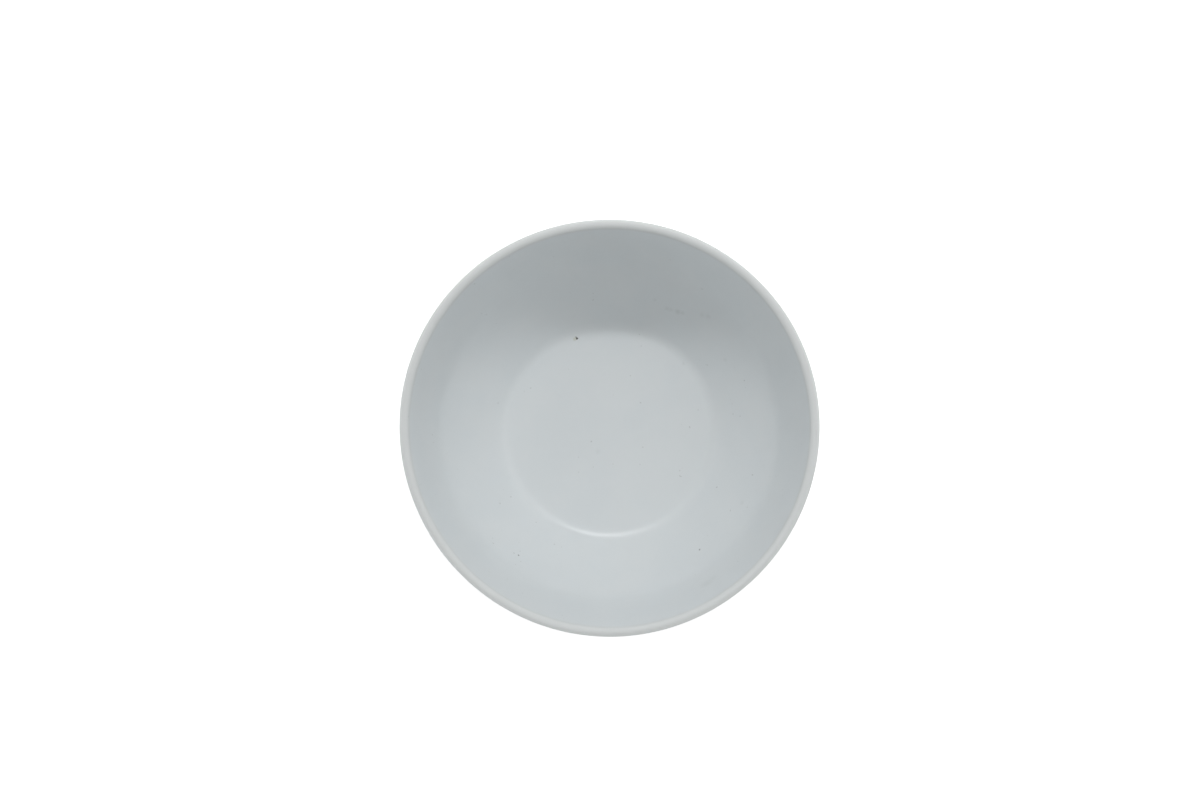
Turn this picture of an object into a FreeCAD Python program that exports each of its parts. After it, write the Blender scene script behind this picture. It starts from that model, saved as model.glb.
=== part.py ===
import FreeCAD, Part
import Sketcher
import math
import os

# A round glazed bowl, made and fired as one piece of stoneware. From the table up it has a foot ring around a
# shallow recess, a slightly dished floor, a lower wall that leans well out, a soft shoulder where the wall turns
# upright, a steep upper wall and a fully rounded lip. The bowl is one turn of the half section drawn here.
#
# Millimetres, +Z up. The origin is the centre of the foot ring's bearing face, so the bowl stands on Z = 0.

DIMENSIONS = [
    # alias, value, what it measures
    ("rim_diameter", 140, "across the outside of the lip"),
    ("rim_height", 54, "table to the top of the lip"),
    ("lip_thickness", 3.3, "wall thickness at the lip, which is fully rounded"),
    ("floor_height", 7, "table to the middle of the inside floor"),
    ("floor_dish", 1, "rise of the inside floor from its middle to its edge"),
    ("floor_diameter", 76.4, "across the edge of the inside floor"),
    ("floor_edge_radius", 7, "rounding between the floor and the lower wall"),
    ("inner_shoulder_diameter", 118, "across the inside at the shoulder"),
    ("inner_shoulder_height", 29, "table to the shoulder, inside"),
    ("outer_shoulder_diameter", 125, "across the outside at the shoulder"),
    ("outer_shoulder_height", 27.2, "table to the shoulder, outside"),
    ("shoulder_radius", 18, "rounding of the shoulder, inside and outside"),
    ("lower_wall_radius", 107, "curve of the lower wall, in section"),
    ("upper_wall_radius", 180, "curve of the upper wall, in section"),
    ("foot_diameter", 75, "across the outside of the foot ring"),
    ("foot_height", 3.4, "table to where the wall leaves the foot ring"),
    ("foot_width", 4.5, "width of the foot ring at the table"),
    ("foot_blend_radius", 1.8, "rounding between the foot ring and the wall"),
    ("foot_edge_radius", 0.8, "rounding of the foot ring's two lower edges"),
    ("recess_depth", 2.8, "depth of the recess inside the foot ring"),
    ("recess_draft", 1, "how far the recess narrows towards its ceiling"),
    ("recess_edge_radius", 1.2, "rounding where the recess meets its ceiling"),
]

# How an edge of the section runs to the next corner. BEND_LEFT and BEND_RIGHT come with the curve's radius.
LINE = "line"
BEND_LEFT = "arc that bends left"
BEND_RIGHT = "arc that bends right"
DISH = "arc that bends right and is centred on the bowl's axis"

# What a corner of the section is. ROUNDED and NOSE come with the rounding's radius.
SHARP = "the edges meet at this point"
ROUNDED = "the edges would meet at this point, and a rounding joins them"
NOSE = "this point is the centre of a half round that joins the two sides of the wall"

ON_AXIS = "on the bowl's axis"
ON_TABLE = "on the table"
HORIZONTAL_AXIS, VERTICAL_AXIS = -1, -2
ORIGIN = (-1, 1)
CENTRE = 3


def driving_dimensions(doc):
    """The spreadsheet that every size below is bound to."""
    sheet = doc.addObject("Spreadsheet::Sheet", "dims")
    for row, (alias, value, meaning) in enumerate(DIMENSIONS, start=1):
        sheet.set(f"A{row}", meaning)
        sheet.set(f"B{row}", str(value))
        sheet.setAlias(f"B{row}", alias)
    doc.recompute()
    return sheet


class Section:
    """A closed sketch on the body's XZ plane whose corners and radii are all bound to the sheet.

    corners are (radius, height, kind, rounding) and edges are (kind, curve), in order around the outline. Sizes are
    expressions. The first placing of the edges is only near, and the sketch's constraints then make it exact.
    """

    def __init__(self, body, name, corners, edges):
        self.sketch = body.newObject("Sketcher::SketchObject", name)
        plane = next(f for f in body.Origin.OriginFeatures if f.Role == "XZ_Plane")
        self.sketch.AttachmentSupport = [(plane, "")]
        self.sketch.MapMode = "FlatFace"
        self.corners = corners
        self.edges = edges
        self.points = [FreeCAD.Vector(self.size(c[0]), self.size(c[1]), 0) for c in corners]
        self.trimmed = [self.trim(i) for i in range(len(corners))]
        self.pieces = [self.add_edge(i) for i in range(len(edges))]
        for i in range(len(corners)):
            self.add_corner(i)
        if self.sketch.solve() != 0 or not self.sketch.FullyConstrained:
            raise RuntimeError(f"{name} isn't fully constrained")

    def size(self, expression):
        if expression in (ON_AXIS, ON_TABLE):
            return 0.0
        return float(self.sketch.evalExpression(expression))

    def heading(self, i):
        """The direction from corner i to the next one."""
        following = self.points[(i + 1) % len(self.points)]
        return (following - self.points[i]).normalize()

    def turn(self, i):
        """How far the outline turns left at corner i, in radians."""
        before, after = self.heading(i - 1), self.heading(i)
        return math.atan2(before.cross(after).z, before.dot(after))

    def trim(self, i):
        """Where the edge before corner i ends and the edge after it starts, taking both as straight."""
        kind, rounding = self.corners[i][2:]
        point = self.points[i]
        if kind == SHARP:
            return point, point
        radius = self.size(rounding)
        if kind == NOSE:
            side = FreeCAD.Vector(radius, 0, 0)
            return point + side, point - side
        back = radius * math.tan(abs(self.turn(i)) / 2)
        return point - self.heading(i - 1) * back, point + self.heading(i) * back

    def add_arc(self, start, end, radius, bends_left):
        """An arc of that radius from start to end, as (its number, its start's place, its end's place)."""
        if not bends_left:
            start, end = end, start
        chord = end - start
        to_left = FreeCAD.Vector(-chord.y, chord.x, 0).normalize()
        centre = (start + end) * 0.5 + to_left * math.sqrt(max(radius**2 - (chord.Length / 2) ** 2, 0))
        circle = Part.Circle(centre, FreeCAD.Vector(0, 0, 1), radius)
        first = math.atan2(start.y - centre.y, start.x - centre.x)
        last = math.atan2(end.y - centre.y, end.x - centre.x)
        number = self.sketch.addGeometry(Part.ArcOfCircle(circle, first, last), False)
        return (number, 1, 2) if bends_left else (number, 2, 1)

    def add_edge(self, i):
        kind, curve = self.edges[i]
        start, end = self.trimmed[i][1], self.trimmed[(i + 1) % len(self.trimmed)][0]
        if kind == LINE:
            return (self.sketch.addGeometry(Part.LineSegment(start, end), False), 1, 2)
        if kind == DISH:
            rise = start.y - end.y
            piece = self.add_arc(start, end, (start.x**2 + rise**2) / (2 * rise), bends_left=False)
            self.constrain("PointOnObject", piece[0], CENTRE, VERTICAL_AXIS)
            return piece
        piece = self.add_arc(start, end, self.size(curve), bends_left=kind == BEND_LEFT)
        self.bind("Radius", piece[0], expression=curve)
        return piece

    def add_corner(self, i):
        """Joins the edges on both sides of corner i, and fixes its place."""
        radius, height, kind, rounding = self.corners[i]
        before, after = self.pieces[i - 1], self.pieces[i]
        if kind == SHARP:
            self.constrain("Coincident", before[0], before[2], after[0], after[1])
            self.place(after[0], after[1], radius, height)
            return
        bends_left = kind == NOSE or self.turn(i) > 0
        arc = self.add_arc(*self.trimmed[i], self.size(rounding), bends_left)
        self.constrain("Tangent", before[0], before[2], arc[0], arc[1])
        self.constrain("Tangent", arc[0], arc[2], after[0], after[1])
        self.bind("Radius", arc[0], expression=rounding)
        if kind == NOSE:
            self.place(arc[0], CENTRE, radius, height)
            return
        corner = self.sketch.addGeometry(Part.Point(self.points[i]), True)
        self.place(corner, 1, radius, height)
        self.constrain("PointOnObject", corner, 1, before[0])
        self.constrain("PointOnObject", corner, 1, after[0])

    def place(self, number, spot, radius, height):
        if radius == ON_AXIS:
            self.constrain("PointOnObject", number, spot, VERTICAL_AXIS)
        else:
            self.bind("DistanceX", *ORIGIN, number, spot, expression=radius)
        if height == ON_TABLE:
            self.constrain("PointOnObject", number, spot, HORIZONTAL_AXIS)
        else:
            self.bind("DistanceY", *ORIGIN, number, spot, expression=height)

    def constrain(self, kind, *what):
        return self.sketch.addConstraint(Sketcher.Constraint(kind, *what))

    def bind(self, kind, *what, expression):
        index = self.constrain(kind, *what, self.size(expression))
        self.sketch.setExpression(f"Constraints[{index}]", expression)


def bowl_section(body):
    """Half of the bowl's cross-section: out along the underside, up the outside, and down the inside."""
    foot_outer = "dims.foot_diameter / 2"
    foot_inner = "dims.foot_diameter / 2 - dims.foot_width"
    lip = "dims.lip_thickness / 2"
    corners = [
        (ON_AXIS, "dims.recess_depth", SHARP, None),
        (f"{foot_inner} - dims.recess_draft", "dims.recess_depth", ROUNDED, "dims.recess_edge_radius"),
        (foot_inner, ON_TABLE, ROUNDED, "dims.foot_edge_radius"),
        (foot_outer, ON_TABLE, ROUNDED, "dims.foot_edge_radius"),
        (foot_outer, "dims.foot_height", ROUNDED, "dims.foot_blend_radius"),
        ("dims.outer_shoulder_diameter / 2", "dims.outer_shoulder_height", ROUNDED, "dims.shoulder_radius"),
        (f"dims.rim_diameter / 2 - {lip}", f"dims.rim_height - {lip}", NOSE, lip),
        ("dims.inner_shoulder_diameter / 2", "dims.inner_shoulder_height", ROUNDED, "dims.shoulder_radius"),
        ("dims.floor_diameter / 2", "dims.floor_height + dims.floor_dish", ROUNDED, "dims.floor_edge_radius"),
        (ON_AXIS, "dims.floor_height", SHARP, None),
    ]
    edges = [
        (LINE, None),
        (LINE, None),
        (LINE, None),
        (LINE, None),
        (BEND_LEFT, "dims.lower_wall_radius"),
        (BEND_LEFT, "dims.upper_wall_radius"),
        (BEND_RIGHT, "dims.upper_wall_radius"),
        (BEND_RIGHT, "dims.lower_wall_radius"),
        (DISH, None),
        (LINE, None),
    ]
    return Section(body, "bowl_section", corners, edges).sketch


def make_bowl(doc):
    """The bowl: a full turn of its section about the upright axis."""
    body = doc.addObject("PartDesign::Body", "bowl")
    body.Label = "bowl"
    body.Placement = FreeCAD.Placement()
    section = bowl_section(body)
    turned = body.newObject("PartDesign::Revolution", "turned_wall")
    turned.Profile = (section, [""])
    turned.ReferenceAxis = (section, ["V_Axis"])
    turned.Angle = 360
    doc.recompute()
    return body


def check(doc, bodies):
    """Stops before anything is written if a feature failed or a solid isn't sound."""
    for item in doc.Objects:
        if "Invalid" in item.State or "Error" in item.State:
            raise RuntimeError(f"{item.Name} failed: {item.State}")
    for body in bodies:
        shape = body.Shape
        if shape.isNull() or not shape.isValid() or len(shape.Solids) != 1:
            raise RuntimeError(f"{body.Label} isn't one valid solid")


def main():
    doc = FreeCAD.newDocument("bowl_document")
    driving_dimensions(doc)
    bodies = [make_bowl(doc)]
    doc.recompute()
    check(doc, bodies)
    os.makedirs("parts", exist_ok=True)
    for body in bodies:
        body.Shape.exportStep(f"parts/{body.Label}.step")
        box = body.Shape.optimalBoundingBox()
        print(
            f"{body.Label}: {box.XLength:.2f} x {box.YLength:.2f} x {box.ZLength:.2f} mm, "
            f"{body.Shape.Volume / 1000:.1f} cm3"
        )


main()
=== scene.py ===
import math

import bpy
import numpy as np
from mathutils import Matrix, Vector


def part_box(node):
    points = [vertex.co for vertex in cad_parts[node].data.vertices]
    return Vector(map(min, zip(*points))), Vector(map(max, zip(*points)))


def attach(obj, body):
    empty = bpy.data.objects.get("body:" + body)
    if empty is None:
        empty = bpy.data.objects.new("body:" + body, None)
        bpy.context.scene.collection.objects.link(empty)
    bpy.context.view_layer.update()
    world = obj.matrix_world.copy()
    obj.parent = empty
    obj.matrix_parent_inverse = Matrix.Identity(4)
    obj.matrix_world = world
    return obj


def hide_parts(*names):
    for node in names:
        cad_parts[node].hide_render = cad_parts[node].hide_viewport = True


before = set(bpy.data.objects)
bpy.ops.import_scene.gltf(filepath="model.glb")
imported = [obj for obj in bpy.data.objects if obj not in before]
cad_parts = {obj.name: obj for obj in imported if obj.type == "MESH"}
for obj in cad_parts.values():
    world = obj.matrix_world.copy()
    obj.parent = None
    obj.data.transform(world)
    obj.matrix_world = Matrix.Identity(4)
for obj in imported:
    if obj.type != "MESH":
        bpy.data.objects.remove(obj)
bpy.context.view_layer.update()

# A round glazed bowl on a plain white floor, seen from almost straight above. Metres, in the frame of the
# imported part: +Z up, the foot ring's bearing face on Z = 0, and -Y towards the bottom of the picture.

MM = 0.001
BOWL_LOW, BOWL_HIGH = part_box("bowl")
RIM_RADIUS = round((BOWL_HIGH.x - BOWL_LOW.x) / 2, 4)
RIM_HEIGHT = round(BOWL_HIGH.z, 4)

# The section's sizes, in mm. The two shoulders are (radius, height) points.
LIP_RADIUS = 1.65
FLOOR_HEIGHT = 7.0
FLOOR_DISH = 1.0
FLOOR_RADIUS = 38.2
FLOOR_EDGE_ROUNDING = 7.0
INNER_SHOULDER = np.array([59.0, 29.0])
OUTER_SHOULDER = np.array([62.5, 27.2])
SHOULDER_ROUNDING = 18.0
LOWER_WALL_CURVE = 107.0
UPPER_WALL_CURVE = 180.0
FOOT_RADIUS = 37.5
FOOT_WIDTH = 4.5
FOOT_HEIGHT = 3.4
FOOT_BLEND = 1.8
FOOT_EDGE = 0.8
RECESS_DEPTH = 2.8
RECESS_DRAFT = 1.0
RECESS_EDGE = 1.2

TURNS = 256  # steps around the bowl
STEP = 1.6  # longest step along the section, mm
STEP_ANGLE = math.radians(6)  # largest turn from one step to the next


# ---------------------------------------------------------------- the bowl's half section

NEWTON_STEPS = 20


def unit(v):
    return v / np.linalg.norm(v)


def left_of(v):
    return np.array([-v[1], v[0]])


class Line:
    """A straight edge. side is the distance to the left of it."""

    def __init__(self, start, end):
        self.start, self.end = np.array(start, float), np.array(end, float)
        self.heading = unit(self.end - self.start)

    def side(self, p):
        return float((p - self.start) @ left_of(self.heading))

    def normal(self, p):
        return left_of(self.heading)

    def points(self, start, end):
        count = max(1, math.ceil(np.linalg.norm(end - start) / STEP))
        return [start + (end - start) * i / count for i in range(count)]


class Arc:
    """A round edge about centre. bends is 1 where it bends left, and -1 where it bends right."""

    def __init__(self, centre, radius, bends):
        self.centre, self.radius, self.bends = np.array(centre, float), radius, bends

    def side(self, p):
        return self.bends * (self.radius - float(np.linalg.norm(p - self.centre)))

    def normal(self, p):
        return self.bends * unit(self.centre - p)

    def points(self, start, end):
        first = math.atan2(*(start - self.centre)[::-1])
        swept = (math.atan2(*(end - self.centre)[::-1]) - first) * self.bends % (2 * math.pi)
        count = max(2, math.ceil(swept / STEP_ANGLE), math.ceil(swept * self.radius / STEP))
        angles = [first + self.bends * swept * i / count for i in range(count)]
        return [self.centre + self.radius * np.array([math.cos(a), math.sin(a)]) for a in angles]


def circles_meet(first, first_radius, second, second_radius):
    """Where two circles meet, on the left of the way from the first centre to the second."""
    gap = second - first
    distance = np.linalg.norm(gap)
    along = (first_radius**2 - second_radius**2 + distance**2) / (2 * distance)
    across = math.sqrt(first_radius**2 - along**2)
    return first + unit(gap) * along + left_of(unit(gap)) * across


def arc_through(start, end, radius, bends):
    """The arc of that radius from start to end."""
    middle, half = (start + end) / 2, np.linalg.norm(end - start) / 2
    across = left_of(unit(end - start)) * bends
    return Arc(middle + across * math.sqrt(radius**2 - half**2), radius, bends)


def rounding(before, after, corner, radius):
    """The arc that rounds off a corner between two edges, and where it touches each of them.

    Its centre is found by Newton's method, as the point whose distance to both edges is the radius.
    """
    turns_left = np.cross(left_of(before.normal(corner)), left_of(after.normal(corner))) > 0
    bends = 1 if turns_left else -1
    centre = corner.copy()
    for _ in range(NEWTON_STEPS):
        miss = [bends * radius - before.side(centre), bends * radius - after.side(centre)]
        centre = centre + np.linalg.solve(np.array([before.normal(centre), after.normal(centre)]), miss)
    touches = [centre - bends * radius * edge.normal(centre) for edge in (before, after)]
    return Arc(centre, radius, bends), *touches


def half_section():
    """(radius, height) points in mm, from the axis under the base, round the outside, to the floor inside."""
    rim_radius, rim_height = RIM_RADIUS / MM, RIM_HEIGHT / MM
    foot_inner = FOOT_RADIUS - FOOT_WIDTH
    ceiling = np.array([0.0, RECESS_DEPTH])
    recess_corner = np.array([foot_inner - RECESS_DRAFT, RECESS_DEPTH])
    foot_inside = np.array([foot_inner, 0.0])
    foot_outside = np.array([FOOT_RADIUS, 0.0])
    foot_top = np.array([FOOT_RADIUS, FOOT_HEIGHT])
    lip = np.array([rim_radius - LIP_RADIUS, rim_height - LIP_RADIUS])
    floor_corner = np.array([FLOOR_RADIUS, FLOOR_HEIGHT + FLOOR_DISH])
    floor_middle = np.array([0.0, FLOOR_HEIGHT])
    floor_curve = (FLOOR_RADIUS**2 + FLOOR_DISH**2) / (2 * FLOOR_DISH)

    outer_wall = circles_meet(OUTER_SHOULDER, UPPER_WALL_CURVE, lip, UPPER_WALL_CURVE - LIP_RADIUS)
    inner_wall = circles_meet(INNER_SHOULDER, UPPER_WALL_CURVE, lip, UPPER_WALL_CURVE + LIP_RADIUS)
    edges = [
        Line(ceiling, recess_corner),
        Line(recess_corner, foot_inside),
        Line(foot_inside, foot_outside),
        Line(foot_outside, foot_top),
        arc_through(foot_top, OUTER_SHOULDER, LOWER_WALL_CURVE, 1),
        Arc(outer_wall, UPPER_WALL_CURVE, 1),
        Arc(inner_wall, UPPER_WALL_CURVE, -1),
        arc_through(INNER_SHOULDER, floor_corner, LOWER_WALL_CURVE, -1),
        Arc(floor_middle + [0, floor_curve], floor_curve, -1),
    ]
    corners = [
        (recess_corner, RECESS_EDGE),
        (foot_inside, FOOT_EDGE),
        (foot_outside, FOOT_EDGE),
        (foot_top, FOOT_BLEND),
        (OUTER_SHOULDER, SHOULDER_ROUNDING),
        None,
        (INNER_SHOULDER, SHOULDER_ROUNDING),
        (floor_corner, FLOOR_EDGE_ROUNDING),
    ]
    points, here = [], ceiling
    for edge, following, corner in zip(edges, edges[1:], corners):
        if corner is None:
            nose = Arc(lip, LIP_RADIUS, 1)
            leave = lip - LIP_RADIUS * edge.normal(lip)
            join = lip + LIP_RADIUS * unit(following.centre - lip)
        else:
            nose, leave, join = rounding(edge, following, *corner)
        points += edge.points(here, leave) + nose.points(leave, join)
        here = join
    return np.array(points + edges[-1].points(here, floor_middle) + [floor_middle])


# ---------------------------------------------------------------- the bowl's mesh

OVALITY = 0.0035  # how much wider than round the rim is one way, and how much narrower the other
OVAL_TURN = 0.19  # twice the angle from the rim's long way to X, in radians
WALL_WAVE = 0.14  # how far the wall's radius wanders besides, mm
RIM_WAVES = [(2, 0.084, 0.9), (3, 0.036, 4.0)]  # in its height: how many around it, mm up and down, phase
FIRING_POWER = 1.5  # how steeply all of this grows from the foot to the rim
BARE_HEIGHT = 1.0  # the glaze is wiped off the foot ring up to this height, mm
GLAZE_THICKNESS = 0.12  # mm


def bare_foot(points):
    """Sets the foot ring's bare part in by the glaze's thickness, so that the glaze ends in a small step."""
    edges = (BARE_HEIGHT, BARE_HEIGHT + GLAZE_THICKNESS)
    middle = FOOT_RADIUS - FOOT_WIDTH / 2
    out = [points[0]]
    for before, after in zip(points, points[1:]):
        crossed = [e for e in edges if min(before[1], after[1]) < e < max(before[1], after[1])]
        for edge in sorted(crossed, reverse=before[1] > after[1]):
            out.append(before + (after - before) * (edge - before[1]) / (after[1] - before[1]))
        out.append(after)
    points = np.array(out)
    bare = points[:, 1] < BARE_HEIGHT + GLAZE_THICKNESS / 2
    side = np.sign(points[:, 0] - middle)
    near_edge = np.abs(points[:, 0] - middle) > FOOT_WIDTH / 4
    points[:, 0] -= GLAZE_THICKNESS * side * (bare & near_edge)
    return points


def fired(radius, height, turn):
    """Where a section's point ends up, all round. A fired bowl is a little out of round, most at its rim."""
    share = np.clip(height / (RIM_HEIGHT / MM), 0, 1) ** FIRING_POWER
    stretch = 1 + share * OVALITY * np.cos(2 * turn + OVAL_TURN)
    wander = share * WALL_WAVE * np.sin(3 * turn)
    lift = share * sum(size * np.cos(waves * turn + phase) for waves, size, phase in RIM_WAVES)
    radius = radius * stretch + wander
    return radius * np.cos(turn), radius * np.sin(turn), height + lift


def bowl_mesh(name):
    """The section turned once about the axis, as a closed mesh of quads with a fan at each pole."""
    section = bare_foot(half_section())
    rings, poles = section[1:-1], (section[0], section[-1])
    turn = np.arange(TURNS) * 2 * math.pi / TURNS
    last = (len(rings) - 1) * TURNS
    verts = []
    for radius, height in rings:
        x, y, z = fired(radius, height, turn)
        verts += list(zip(x * MM, y * MM, z * MM))
    under, over = len(verts), len(verts) + 1
    verts += [(0, 0, height * MM) for _, height in poles]
    faces = []
    for k in range(TURNS):
        after = (k + 1) % TURNS
        faces.append((under, after, k))
        faces.append((over, last + k, last + after))
        for ring in range(len(rings) - 1):
            here, there = ring * TURNS, (ring + 1) * TURNS
            faces.append((here + k, here + after, there + after, there + k))
    mesh = bpy.data.meshes.new(name)
    mesh.from_pydata(verts, [], faces)
    mesh.update()
    mesh.shade_smooth()
    return mesh


# ---------------------------------------------------------------- materials


class Shader:
    """One material's nodes. Each method adds a node and gives back its output, to pass to the next one."""

    def __init__(self, name):
        self.material = bpy.data.materials.new(name)
        self.material.use_nodes = True
        self.tree = self.material.node_tree
        self.surface = self.tree.nodes["Principled BSDF"]

    def feed(self, socket, value):
        if isinstance(value, bpy.types.NodeSocket):
            self.tree.links.new(value, socket)
        elif isinstance(value, tuple) and len(value) == 3 and socket.type == "RGBA":
            socket.default_value = (*value, 1)
        else:
            socket.default_value = value

    def set(self, name, value):
        self.feed(self.surface.inputs[name], value)

    def place(self):
        return self.tree.nodes.new("ShaderNodeTexCoord").outputs["Object"]

    def split(self, where):
        node = self.tree.nodes.new("ShaderNodeSeparateXYZ")
        self.feed(node.inputs[0], where)
        return node.outputs

    def math(self, operation, a, b=0.0):
        node = self.tree.nodes.new("ShaderNodeMath")
        node.operation = operation
        self.feed(node.inputs[0], a)
        self.feed(node.inputs[1], b)
        return node.outputs[0]

    def vector(self, operation, a, b, output="Vector"):
        node = self.tree.nodes.new("ShaderNodeVectorMath")
        node.operation = operation
        self.feed(node.inputs[0], a)
        self.feed(node.inputs["Scale" if operation == "SCALE" else 1], b)
        return node.outputs[output]

    def noise(self, where, size, detail=2.0, output="Fac"):
        """Noise whose features are about size across, in metres."""
        node = self.tree.nodes.new("ShaderNodeTexNoise")
        self.feed(node.inputs["Vector"], where)
        node.inputs["Scale"].default_value = 1 / size
        node.inputs["Detail"].default_value = detail
        return node.outputs[output]

    def ramp(self, value, start, end, low=0.0, high=1.0):
        """Goes smoothly from low, where value is start, to high, where it is end."""
        node = self.tree.nodes.new("ShaderNodeMapRange")
        node.interpolation_type = "SMOOTHSTEP"
        names = ("Value", "From Min", "From Max", "To Min", "To Max")
        for name, number in zip(names, (value, start, end, low, high)):
            self.feed(node.inputs[name], number)
        return node.outputs[0]

    def mix(self, share, first, second):
        """The first colour, going to the second as share goes from 0 to 1."""
        node = self.tree.nodes.new("ShaderNodeMix")
        node.data_type = "RGBA"
        for index, value in ((0, share), (6, first), (7, second)):
            self.feed(node.inputs[index], value)
        return node.outputs[2]

    def bump(self, height, depth, onto=None):
        """Raises the surface by up to depth metres where height is 1."""
        node = self.tree.nodes.new("ShaderNodeBump")
        node.inputs["Distance"].default_value = depth
        self.feed(node.inputs["Height"], height)
        if onto is not None:
            self.feed(node.inputs["Normal"], onto)
        return node.outputs[0]


GLAZE_COOL = (0.715, 0.755, 0.770)
GLAZE_WARM = (0.729, 0.765, 0.777)
GLAZE_THIN = (0.704, 0.731, 0.729)  # over the lip, where the glaze runs thin
GLAZE_POOLED = (0.690, 0.738, 0.757)  # above the foot ring, where it gathers
LIP_GLAZE = (51.4 * MM, 53 * MM)  # heights between which the glaze thins out over the lip
POOL_HEIGHT = (7 * MM, 3 * MM)  # and from which, going down, it gathers
POOL_RADIUS = (36 * MM, 37 * MM)  # outside the foot ring
GLAZE_ROUGHNESS = (0.33, 0.38)
LIP_ROUGHER = 0.25
BARE_CLAY = (0.66, 0.62, 0.55)
CLAY_GRAIN = (0.52, 0.47, 0.40)
IRON_SPOT = (0.035, 0.032, 0.026)
IRON_HALO = (0.50, 0.50, 0.36)
SMUDGE = (0.44, 0.47, 0.46)
FLOOR_DARK = (0.79, 0.79, 0.79)
FLOOR_LIGHT = (0.81, 0.81, 0.81)
WHITE = (1.0, 1.0, 1.0)
FLOOR_GLOW = 0.61

# Marks in the glaze of the inside: x and y in mm, width in mm, and how much of the colour they hide.
IRON_SPOTS = [
    (-11.9, 33.8, 1.0, 1.0),
    (-12.2, 34.2, 0.6, 0.9),
    (-32.0, -44.4, 0.8, 0.5),
    (-31.6, -43.0, 0.5, 0.25),
    (31.8, -42.5, 0.8, 0.6),
    (-40.4, 10.0, 0.6, 0.35),
    (50.6, -16.1, 0.8, 0.3),
    (38.7, -20.5, 0.7, 0.3),
    (42.9, -28.7, 0.7, 0.2),
    (-6.6, -3.8, 0.8, 0.2),
    (11.4, 10.4, 0.6, 0.2),
    (11.0, 35.3, 0.5, 0.2),
]
SMUDGES = [
    (20.8, 43.7, 2.6, 0.18),
    (22.0, 43.3, 2.6, 0.15),
    (24.6, 42.5, 3.2, 0.28),
    (26.2, 42.0, 2.6, 0.20),
    (16.3, 46.8, 2.2, 0.12),
    (33.0, 40.9, 3.0, 0.12),
    (35.2, 40.2, 3.0, 0.15),
    (33.2, -53.2, 7.0, 0.12),
    (35.4, -51.5, 5.0, 0.08),
    (27.0, 24.6, 1.8, 0.15),
    (41.5, 25.2, 2.6, 0.12),
    (46.9, -25.9, 2.6, 0.12),
    (-4.2, -7.5, 3.0, 0.10),
]
IRON_HALO_AT = [(-12.6, 33.6, 2.2, 0.5)]  # around the first iron spot


def marks(shader, where, spots, soft):
    """Each spot's strength in its middle, and 0 at its edge. soft is the share of its radius that fades."""
    section = half_section()
    inside = section[np.argmax(section[:, 1]) :][::-1]
    total = 0.0
    for x, y, width, strength in spots:
        height = float(np.interp(math.hypot(x, y), inside[:, 0], inside[:, 1]))
        centre = (x * MM, y * MM, height * MM)
        away = shader.vector("DISTANCE", where, centre, output="Value")
        radius = width / 2 * MM
        spot = shader.ramp(away, radius * (1 - soft), radius, strength, 0.0)
        total = shader.math("MAXIMUM", spot, total)
    return total


def glaze():
    shader = Shader("white_glaze")
    where = shader.place()
    ragged = shader.vector("SUBTRACT", shader.noise(where, 0.6 * MM, output="Color"), (0.5, 0.5, 0.5))
    ragged = shader.vector("ADD", where, shader.vector("SCALE", ragged, 0.7 * MM))
    height = shader.split(where)[2]
    across = shader.vector("LENGTH", shader.vector("MULTIPLY", where, (1, 1, 0)), (0, 0, 0), output="Value")
    cloud = shader.noise(where, 16 * MM, detail=4)

    colour = shader.mix(shader.ramp(cloud, 0.35, 0.65), GLAZE_COOL, GLAZE_WARM)
    lip = shader.ramp(height, *LIP_GLAZE)
    colour = shader.mix(lip, colour, GLAZE_THIN)
    pooled = shader.math("MULTIPLY", shader.ramp(height, *POOL_HEIGHT), shader.ramp(across, *POOL_RADIUS))
    colour = shader.mix(pooled, colour, GLAZE_POOLED)
    colour = shader.mix(marks(shader, ragged, SMUDGES, soft=0.9), colour, SMUDGE)
    colour = shader.mix(marks(shader, ragged, IRON_HALO_AT, soft=0.9), colour, IRON_HALO)
    colour = shader.mix(marks(shader, ragged, IRON_SPOTS, soft=0.5), colour, IRON_SPOT)
    pinholes = shader.math(
        "MULTIPLY",
        shader.ramp(shader.noise(where, 0.9 * MM, detail=0), 0.83, 0.86),
        shader.ramp(shader.noise(where, 9 * MM, detail=0), 0.55, 0.60),
    )
    colour = shader.mix(shader.math("MULTIPLY", pinholes, 0.5), colour, SMUDGE)

    rough = shader.ramp(cloud, 0.3, 0.7, *GLAZE_ROUGHNESS)
    rough = shader.math("ADD", rough, shader.math("MULTIPLY", lip, LIP_ROUGHER))
    skin = shader.bump(shader.noise(where, 1.6 * MM, detail=1), 0.004 * MM)
    skin = shader.bump(cloud, 0.05 * MM, onto=skin)

    shader.set("Base Color", colour)
    shader.set("Roughness", rough)
    shader.set("Normal", skin)
    return shader.material


def bare_clay():
    shader = Shader("bare_clay")
    where = shader.place()
    grain = shader.noise(where, 0.35 * MM, detail=3)
    stain = shader.noise(where, 6 * MM, detail=3)
    colour = shader.mix(shader.ramp(grain, 0.45, 0.75), BARE_CLAY, CLAY_GRAIN)
    colour = shader.mix(shader.ramp(stain, 0.5, 0.8, 0.0, 0.4), colour, CLAY_GRAIN)
    shader.set("Base Color", colour)
    shader.set("Roughness", shader.ramp(grain, 0.3, 0.7, 0.75, 0.9))
    shader.set("Normal", shader.bump(grain, 0.03 * MM))
    return shader.material


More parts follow.
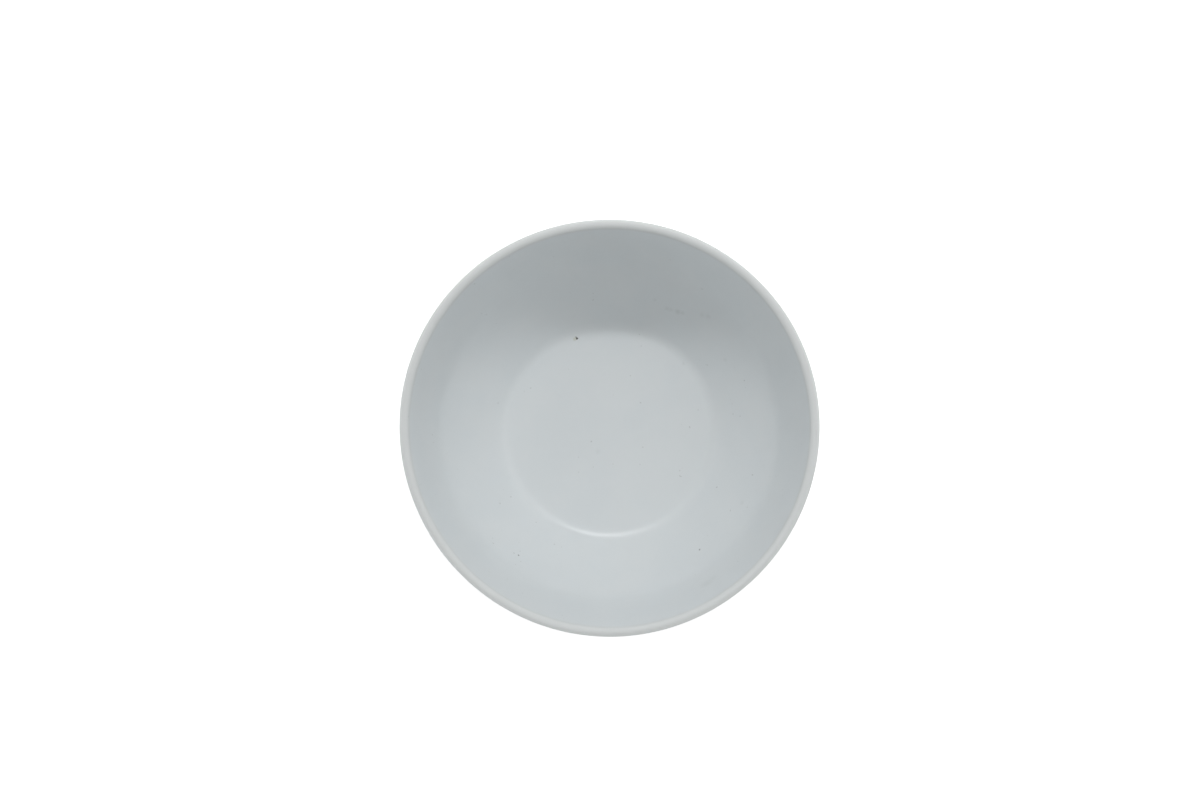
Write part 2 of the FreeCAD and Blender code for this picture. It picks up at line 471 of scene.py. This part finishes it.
def pale_floor():
    """White, and glowing a little, as a light table does. Its glow fades to none towards and under the bowl,
    which paints a contact shadow round the bowl and gives the bowl's outside less light from below.
    """
    shader = Shader("pale_floor")
    where = shader.place()
    away = shader.vector("LENGTH", where, (0, 0, 0), output="Value")
    shade = shader.noise(where, 0.4, detail=3)
    shader.set("Base Color", shader.mix(shade, FLOOR_DARK, FLOOR_LIGHT))
    shader.set("Roughness", 0.7)
    shader.set("Emission Color", WHITE)
    # painted contact shadow: no glow within half the rim's radius, rising to full glow at the rim's radius
    shader.set("Emission Strength", shader.ramp(away, RIM_RADIUS / 2, RIM_RADIUS, 0.0, FLOOR_GLOW))
    return shader.material


# ---------------------------------------------------------------- the scene


def aimed(obj, position, target, up=(0, 0, 1)):
    """Puts a camera or light at position, looking at target."""
    back = (Vector(position) - Vector(target)).normalized()
    right = Vector(up).cross(back).normalized()
    turned = Matrix((right, back.cross(right), back)).transposed().to_4x4()
    obj.matrix_world = Matrix.Translation(position) @ turned
    bpy.context.scene.collection.objects.link(obj)
    return obj


CAMERA_TILT = math.radians(2.25)  # off straight down, towards the viewer
CAMERA_DISTANCE = 7 * RIM_RADIUS
CAMERA_LENS = 44.13
AIM_OFFSET = Vector((-0.00313, 0.00866, 0))  # the bowl sits a little right of and below the middle


def make_camera():
    data = bpy.data.cameras.new("camera")
    data.lens = CAMERA_LENS
    data.sensor_width = 36
    data.clip_start = 0.01
    middle = Vector((0, 0, RIM_HEIGHT))
    away = Vector((0, -math.sin(CAMERA_TILT), math.cos(CAMERA_TILT)))
    camera = bpy.data.objects.new("camera", data)
    aimed(camera, middle + away * CAMERA_DISTANCE, middle + AIM_OFFSET, up=(0, 1, 0))
    bpy.context.scene.camera = camera


def make_bowl():
    bowl = bpy.data.objects.new("glazed_bowl", bowl_mesh("glazed_bowl"))
    bpy.context.scene.collection.objects.link(bowl)
    bowl.data.materials.append(glaze())
    bowl.data.materials.append(bare_clay())
    for face in bowl.data.polygons:
        from_ring = abs(math.hypot(*face.center[:2]) / MM - (FOOT_RADIUS - FOOT_WIDTH / 2))
        face.material_index = int(from_ring < FOOT_WIDTH and face.center.z < BARE_HEIGHT * MM)
    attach(bowl, "root")
    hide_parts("bowl")


FLOOR_HALF = 60.0  # half the floor's width
FLOOR_DROP = 0.05 * MM  # keeps the floor clear of the foot ring's bearing face


def make_floor():
    signs = [(-1, -1), (1, -1), (1, 1), (-1, 1)]
    corners = [(x * FLOOR_HALF, y * FLOOR_HALF, -FLOOR_DROP) for x, y in signs]
    mesh = bpy.data.meshes.new("floor")
    mesh.from_pydata(corners, [], [(0, 1, 2, 3)])
    mesh.materials.append(pale_floor())
    floor = bpy.data.objects.new("floor", mesh)
    bpy.context.scene.collection.objects.link(floor)


LIGHT_DISTANCE = 2.5
LIGHTS = [
    # name, azimuth from +X towards +Y, elevation, width, height, strength
    ("key_light", 88, 55.5, 0.9, 0.2, 0.345),
    ("right_fill", 20, 45, 1.8, 1.8, 0.175),
    ("left_fill", 170, 30, 1.2, 1.2, 0.095),
    ("front_fill", 270, 25, 1.2, 1.2, 0.060),
]
DOME_STRENGTH = 0.34
HORIZON_STRENGTH = 1.0
HORIZON_BAND = (0.03, 0.15)  # sines of the elevations where the horizon ends and the dome begins


def make_light(name, azimuth, elevation, width, height, strength):
    """A softbox that faces the bowl. Its strength is its light on a surface that faces it, over pi."""
    data = bpy.data.lights.new(name, "AREA")
    data.shape = "RECTANGLE"
    data.size, data.size_y = width, height
    data.energy = strength * (math.pi * LIGHT_DISTANCE) ** 2
    a, e = math.radians(azimuth), math.radians(elevation)
    middle = Vector((0, 0, RIM_HEIGHT))
    away = Vector((math.cos(e) * math.cos(a), math.cos(e) * math.sin(a), math.sin(e)))
    light = aimed(bpy.data.objects.new(name, data), middle + away * LIGHT_DISTANCE, middle)
    light.visible_camera = False


def make_dome():
    """An even dome of light, with a pale band along the horizon that the floor runs into."""
    world = bpy.data.worlds.new("dome")
    world.use_nodes = True
    tree = world.node_tree
    direction = tree.nodes.new("ShaderNodeTexCoord").outputs["Generated"]
    split = tree.nodes.new("ShaderNodeSeparateXYZ")
    band = tree.nodes.new("ShaderNodeMapRange")
    band.interpolation_type = "SMOOTHSTEP"
    names = ("From Min", "From Max", "To Min", "To Max")
    for name, number in zip(names, (*HORIZON_BAND, HORIZON_STRENGTH, DOME_STRENGTH)):
        band.inputs[name].default_value = number
    background = tree.nodes["Background"]
    background.inputs["Color"].default_value = (*WHITE, 1)
    tree.links.new(direction, split.inputs[0])
    tree.links.new(split.outputs[2], band.inputs["Value"])
    tree.links.new(band.outputs[0], background.inputs["Strength"])
    bpy.context.scene.world = world


def make_lights():
    for light in LIGHTS:
        make_light(*light)
    make_dome()


make_camera()
make_bowl()
make_floor()
make_lights()
bpy.context.scene.view_settings.view_transform = "Standard"
